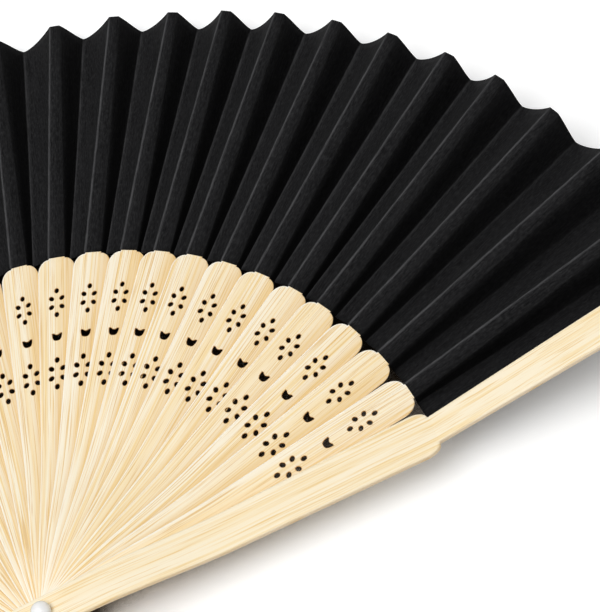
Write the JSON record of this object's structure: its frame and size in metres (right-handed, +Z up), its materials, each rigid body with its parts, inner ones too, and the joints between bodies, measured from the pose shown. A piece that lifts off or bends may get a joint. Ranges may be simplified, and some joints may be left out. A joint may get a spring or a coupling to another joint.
{
  "type": "folding hand fan",
  "caption": "Folding hand fan with perforated bamboo sticks on a rivet and a pleated black paper leaf, shown open.",
  "frame": {"origin": "centre of the rear rivet head's flat foot, on the rivet axis and on the table", "axes": "+Z up along the rivet axis, +Y along the middle of the opened fan, +X towards the front guard's side"},
  "size_m": [0.374, 0.2054, 0.0391],
  "materials": {
    "bamboo": "smooth pale bamboo, clear matt lacquer",
    "guard_bamboo": "smooth pale bamboo, clear matt lacquer",
    "paper": "matt black paper with fine radial fibres",
    "pearl": "glossy white pearl"
  },
  "bodies": {
    "back_guard": {"back_guard": "guard_bamboo", "pleat_24": "paper", "rivet_back": "pearl", "rivet_front": "pearl"},
    "rib_23": {"rib_23": "bamboo", "pleat_23": "paper"},
    "rib_22": {"rib_22": "bamboo", "pleat_22": "paper"},
    "rib_21": {"rib_21": "bamboo", "pleat_21": "paper"},
    "rib_20": {"rib_20": "bamboo", "pleat_20": "paper"},
    "rib_19": {"rib_19": "bamboo", "pleat_19": "paper"},
    "rib_18": {"rib_18": "bamboo", "pleat_18": "paper"},
    "rib_17": {"rib_17": "bamboo", "pleat_17": "paper"},
    "rib_16": {"rib_16": "bamboo", "pleat_16": "paper"},
    "rib_15": {"rib_15": "bamboo", "pleat_15": "paper"},
    "rib_14": {"rib_14": "bamboo", "pleat_14": "paper"},
    "rib_13": {"rib_13": "bamboo", "pleat_13": "paper"},
    "rib_12": {"rib_12": "bamboo", "pleat_12": "paper"},
    "rib_11": {"rib_11": "bamboo", "pleat_11": "paper"},
    "rib_10": {"rib_10": "bamboo", "pleat_10": "paper"},
    "rib_09": {"rib_09": "bamboo", "pleat_09": "paper"},
    "rib_08": {"rib_08": "bamboo", "pleat_08": "paper"},
    "rib_07": {"rib_07": "bamboo", "pleat_07": "paper"},
    "rib_06": {"rib_06": "bamboo", "pleat_06": "paper"},
    "rib_05": {"rib_05": "bamboo", "pleat_05": "paper"},
    "rib_04": {"rib_04": "bamboo", "pleat_04": "paper"},
    "rib_03": {"rib_03": "bamboo", "pleat_03": "paper"},
    "rib_02": {"rib_02": "bamboo", "pleat_02": "paper"},
    "rib_01": {"rib_01": "bamboo", "pleat_01": "paper"},
    "front_guard": {"front_guard": "guard_bamboo"}
  },
  "joints": [
    {"name": "fold_24", "type": "hinge", "parent": "back_guard", "child": "rib_23", "pos_m": [0, 0, 0], "axis": [0, 0, 1], "range_deg": [0, 6.37], "deforming": ["pleat_24"]},
    {"name": "fold_23", "type": "hinge", "parent": "rib_23", "child": "rib_22", "pos_m": [0, 0, 0], "axis": [0, 0, 1], "range_deg": [0, 5.6], "deforming": ["pleat_23"]},
    {"name": "fold_22", "type": "hinge", "parent": "rib_22", "child": "rib_21", "pos_m": [0, 0, 0], "axis": [0, 0, 1], "range_deg": [0, 5.54], "deforming": ["pleat_22"]},
    {"name": "fold_21", "type": "hinge", "parent": "rib_21", "child": "rib_20", "pos_m": [0, 0, 0], "axis": [0, 0, 1], "range_deg": [0, 5.66], "deforming": ["pleat_21"]},
    {"name": "fold_20", "type": "hinge", "parent": "rib_20", "child": "rib_19", "pos_m": [0, 0, 0], "axis": [0, 0, 1], "range_deg": [0, 5.6], "deforming": ["pleat_20"]},
    {"name": "fold_19", "type": "hinge", "parent": "rib_19", "child": "rib_18", "pos_m": [0, 0, 0], "axis": [0, 0, 1], "range_deg": [0, 5.54], "deforming": ["pleat_19"]},
    {"name": "fold_18", "type": "hinge", "parent": "rib_18", "child": "rib_17", "pos_m": [0, 0, 0], "axis": [0, 0, 1], "range_deg": [0, 5.66], "deforming": ["pleat_18"]},
    {"name": "fold_17", "type": "hinge", "parent": "rib_17", "child": "rib_16", "pos_m": [0, 0, 0], "axis": [0, 0, 1], "range_deg": [0, 5.6], "deforming": ["pleat_17"]},
    {"name": "fold_16", "type": "hinge", "parent": "rib_16", "child": "rib_15", "pos_m": [0, 0, 0], "axis": [0, 0, 1], "range_deg": [0, 5.54], "deforming": ["pleat_16"]},
    {"name": "fold_15", "type": "hinge", "parent": "rib_15", "child": "rib_14", "pos_m": [0, 0, 0], "axis": [0, 0, 1], "range_deg": [0, 5.66], "deforming": ["pleat_15"]},
    {"name": "fold_14", "type": "hinge", "parent": "rib_14", "child": "rib_13", "pos_m": [0, 0, 0], "axis": [0, 0, 1], "range_deg": [0, 6.31], "deforming": ["pleat_14"]},
    {"name": "fold_13", "type": "hinge", "parent": "rib_13", "child": "rib_12", "pos_m": [0, 0, 0], "axis": [0, 0, 1], "range_deg": [0, 6.07], "deforming": ["pleat_13"]},
    {"name": "fold_12", "type": "hinge", "parent": "rib_12", "child": "rib_11", "pos_m": [0, 0, 0], "axis": [0, 0, 1], "range_deg": [0, 5.84], "deforming": ["pleat_12"]},
    {"name": "fold_11", "type": "hinge", "parent": "rib_11", "child": "rib_10", "pos_m": [0, 0, 0], "axis": [0, 0, 1], "range_deg": [0, 5.72], "deforming": ["pleat_11"]},
    {"name": "fold_10", "type": "hinge", "parent": "rib_10", "child": "rib_09", "pos_m": [0, 0, 0], "axis": [0, 0, 1], "range_deg": [0, 5.31], "deforming": ["pleat_10"]},
    {"name": "fold_09", "type": "hinge", "parent": "rib_09", "child": "rib_08", "pos_m": [0, 0, 0], "axis": [0, 0, 1], "range_deg": [0, 5.31], "deforming": ["pleat_09"]},
    {"name": "fold_08", "type": "hinge", "parent": "rib_08", "child": "rib_07", "pos_m": [0, 0, 0], "axis": [0, 0, 1], "range_deg": [0, 5.72], "deforming": ["pleat_08"]},
    {"name": "fold_07", "type": "hinge", "parent": "rib_07", "child": "rib_06", "pos_m": [0, 0, 0], "axis": [0, 0, 1], "range_deg": [0, 5.66], "deforming": ["pleat_07"]},
    {"name": "fold_06", "type": "hinge", "parent": "rib_06", "child": "rib_05", "pos_m": [0, 0, 0], "axis": [0, 0, 1], "range_deg": [0, 5.89], "deforming": ["pleat_06"]},
    {"name": "fold_05", "type": "hinge", "parent": "rib_05", "child": "rib_04", "pos_m": [0, 0, 0], "axis": [0, 0, 1], "range_deg": [0, 5.37], "deforming": ["pleat_05"]},
    {"name": "fold_04", "type": "hinge", "parent": "rib_04", "child": "rib_03", "pos_m": [0, 0, 0], "axis": [0, 0, 1], "range_deg": [0, 6.07], "deforming": ["pleat_04"]},
    {"name": "fold_03", "type": "hinge", "parent": "rib_03", "child": "rib_02", "pos_m": [0, 0, 0], "axis": [0, 0, 1], "range_deg": [0, 6.31], "deforming": ["pleat_03"]},
    {"name": "fold_02", "type": "hinge", "parent": "rib_02", "child": "rib_01", "pos_m": [0, 0, 0], "axis": [0, 0, 1], "range_deg": [0, 6.49], "deforming": ["pleat_02"]},
    {"name": "fold_01", "type": "hinge", "parent": "rib_01", "child": "front_guard", "pos_m": [0, 0, 0], "axis": [0, 0, 1], "range_deg": [0, 7.19], "deforming": ["pleat_01"]}
  ],
  "couplings": [
    {"joint": "fold_23", "follows": "fold_24", "ratio": 0.87963},
    {"joint": "fold_22", "follows": "fold_24", "ratio": 0.87037},
    {"joint": "fold_21", "follows": "fold_24", "ratio": 0.88889},
    {"joint": "fold_20", "follows": "fold_24", "ratio": 0.87963},
    {"joint": "fold_19", "follows": "fold_24", "ratio": 0.87037},
    {"joint": "fold_18", "follows": "fold_24", "ratio": 0.88889},
    {"joint": "fold_17", "follows": "fold_24", "ratio": 0.87963},
    {"joint": "fold_16", "follows": "fold_24", "ratio": 0.87037},
    {"joint": "fold_15", "follows": "fold_24", "ratio": 0.88889},
    {"joint": "fold_14", "follows": "fold_24", "ratio": 0.99074},
    {"joint": "fold_13", "follows": "fold_24", "ratio": 0.9537},
    {"joint": "fold_12", "follows": "fold_24", "ratio": 0.91667},
    {"joint": "fold_11", "follows": "fold_24", "ratio": 0.89815},
    {"joint": "fold_10", "follows": "fold_24", "ratio": 0.83333},
    {"joint": "fold_09", "follows": "fold_24", "ratio": 0.83333},
    {"joint": "fold_08", "follows": "fold_24", "ratio": 0.89815},
    {"joint": "fold_07", "follows": "fold_24", "ratio": 0.88889},
    {"joint": "fold_06", "follows": "fold_24", "ratio": 0.92593},
    {"joint": "fold_05", "follows": "fold_24", "ratio": 0.84259},
    {"joint": "fold_04", "follows": "fold_24", "ratio": 0.9537},
    {"joint": "fold_03", "follows": "fold_24", "ratio": 0.99074},
    {"joint": "fold_02", "follows": "fold_24", "ratio": 1.0185},
    {"joint": "fold_01", "follows": "fold_24", "ratio": 1.1296}
  ]
}
